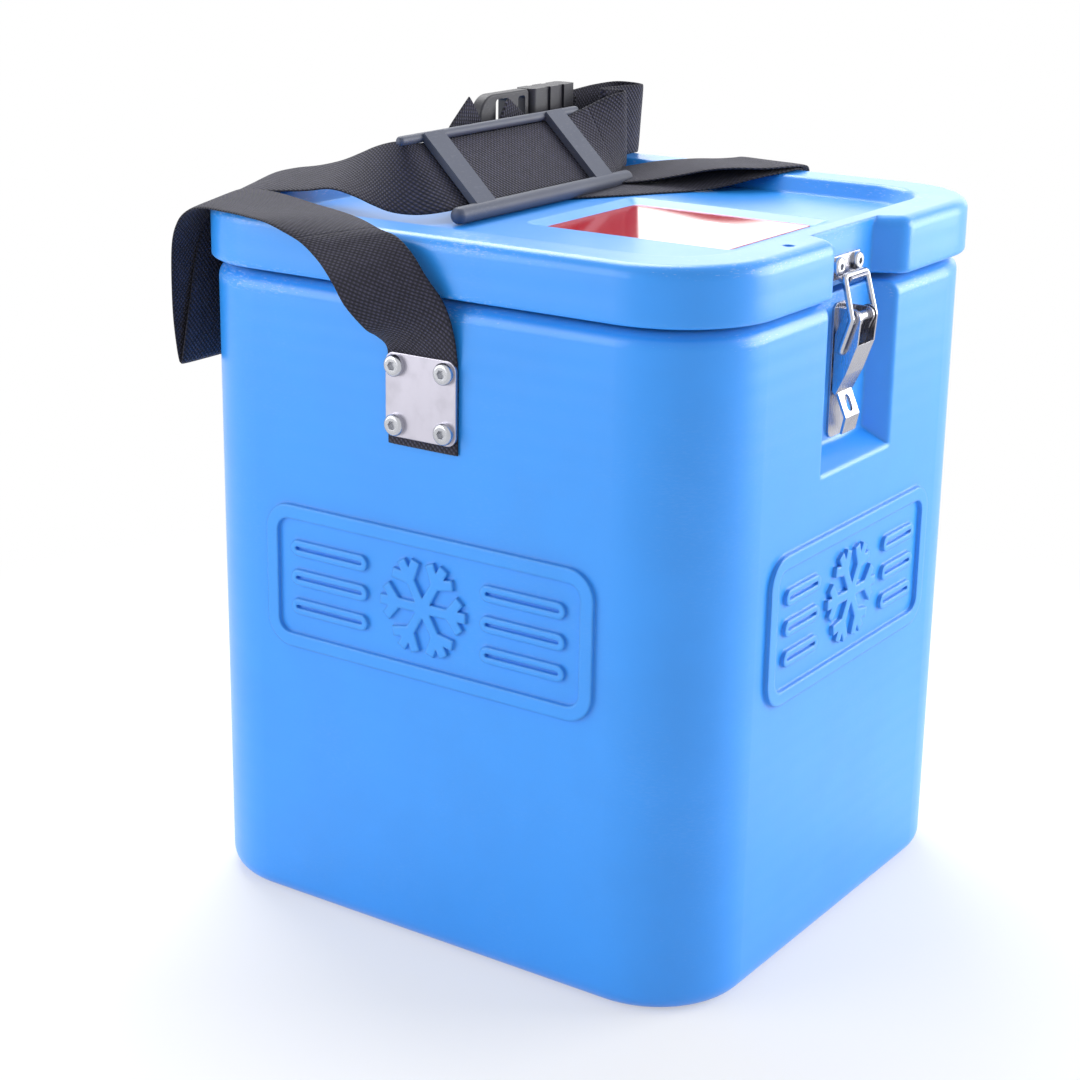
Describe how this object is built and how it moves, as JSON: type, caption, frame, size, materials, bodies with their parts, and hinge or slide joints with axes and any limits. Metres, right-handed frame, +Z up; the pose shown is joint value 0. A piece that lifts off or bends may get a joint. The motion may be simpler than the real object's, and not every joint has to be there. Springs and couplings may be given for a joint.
{
  "type": "vaccine carrier",
  "caption": "Insulated vaccine carrier box with a hinged plugged lid, toggle latch in a recess, screwed strap plates and a shoulder strap lying on the lid.",
  "frame": {"origin": "on the floor under the middle of the body's underside", "axes": "+Z up, latch and its recess towards -Y, hinges towards +Y, strap plates on -X and +X"},
  "size_m": [0.2998, 0.3155, 0.3943],
  "materials": {
    "shell_plastic": "semi-gloss blue moulded plastic",
    "foam": "rigid polyurethane foam",
    "liner_plastic": "smooth white moulded plastic",
    "steel": "brushed stainless steel",
    "screw_steel": "bright stainless steel",
    "brass_insert": "plain brass",
    "webbing": "charcoal ribbed webbing",
    "grip_plastic": "grey-blue matte plastic",
    "buckle_plastic": "black matte plastic",
    "gasket_rubber": "soft dark rubber",
    "label_sheet": "glossy red printed sheet with a plain white panel",
    "pack_plastic": "pale translucent moulded plastic",
    "cap_plastic": "blue matte plastic"
  },
  "bodies": {
    "root": {"body_shell": "shell_plastic", "body_insulation": "foam", "liner_tub": "liner_plastic", "left_strap_plate": "steel", "right_strap_plate": "steel", "left_plate_screws": "screw_steel", "right_plate_screws": "screw_steel", "left_plate_inserts": "brass_insert", "right_plate_inserts": "brass_insert", "webbing_left_side": "webbing", "webbing_right_side": "webbing", "webbing_rear_loop": "webbing", "left_hinge_body_leaf": "steel", "right_hinge_body_leaf": "steel", "left_hinge_pin": "screw_steel", "right_hinge_pin": "screw_steel", "hinge_body_screws": "screw_steel", "latch_base": "steel", "latch_base_screws": "screw_steel", "latch_pivot_pin": "screw_steel", "ice_pack_front": "pack_plastic", "ice_pack_back": "pack_plastic", "ice_pack_left": "pack_plastic", "ice_pack_right": "pack_plastic", "ice_pack_caps": "cap_plastic"},
    "lid": {"lid_shell": "shell_plastic", "lid_insulation": "foam", "lid_plug": "liner_plastic", "lid_gasket": "gasket_rubber", "lid_label": "label_sheet", "latch_keeper": "steel", "keeper_screws": "screw_steel", "left_hinge_lid_leaf": "steel", "right_hinge_lid_leaf": "steel", "hinge_lid_screws": "screw_steel", "webbing_left_over": "webbing", "webbing_grip_run": "webbing", "webbing_end_loop": "webbing", "webbing_right_run": "webbing", "grip_frame": "grip_plastic", "buckle_socket": "buckle_plastic", "buckle_plug": "buckle_plastic"},
    "lever": {"latch_lever": "steel"},
    "bail": {"latch_bail": "screw_steel"}
  },
  "joints": [
    {"name": "lid_hinge", "type": "hinge", "parent": "root", "child": "lid", "pos_m": [0, 0.158, 0.325], "axis": [-1, 0, 0], "range_deg": [0, 105]},
    {"name": "latch_lever", "type": "hinge", "parent": "root", "child": "lever", "pos_m": [0, -0.148, 0.3103], "axis": [-1, 0, 0], "range_deg": [0, 165]},
    {"name": "latch_bail", "type": "hinge", "parent": "lever", "child": "bail", "pos_m": [0, -0.1443, 0.2945], "axis": [-1, 0, 0], "range_deg": [-174, 0]}
  ],
  "couplings": [
    {"joint": "latch_bail", "follows": "latch_lever", "ratio": -1.05}
  ]
}
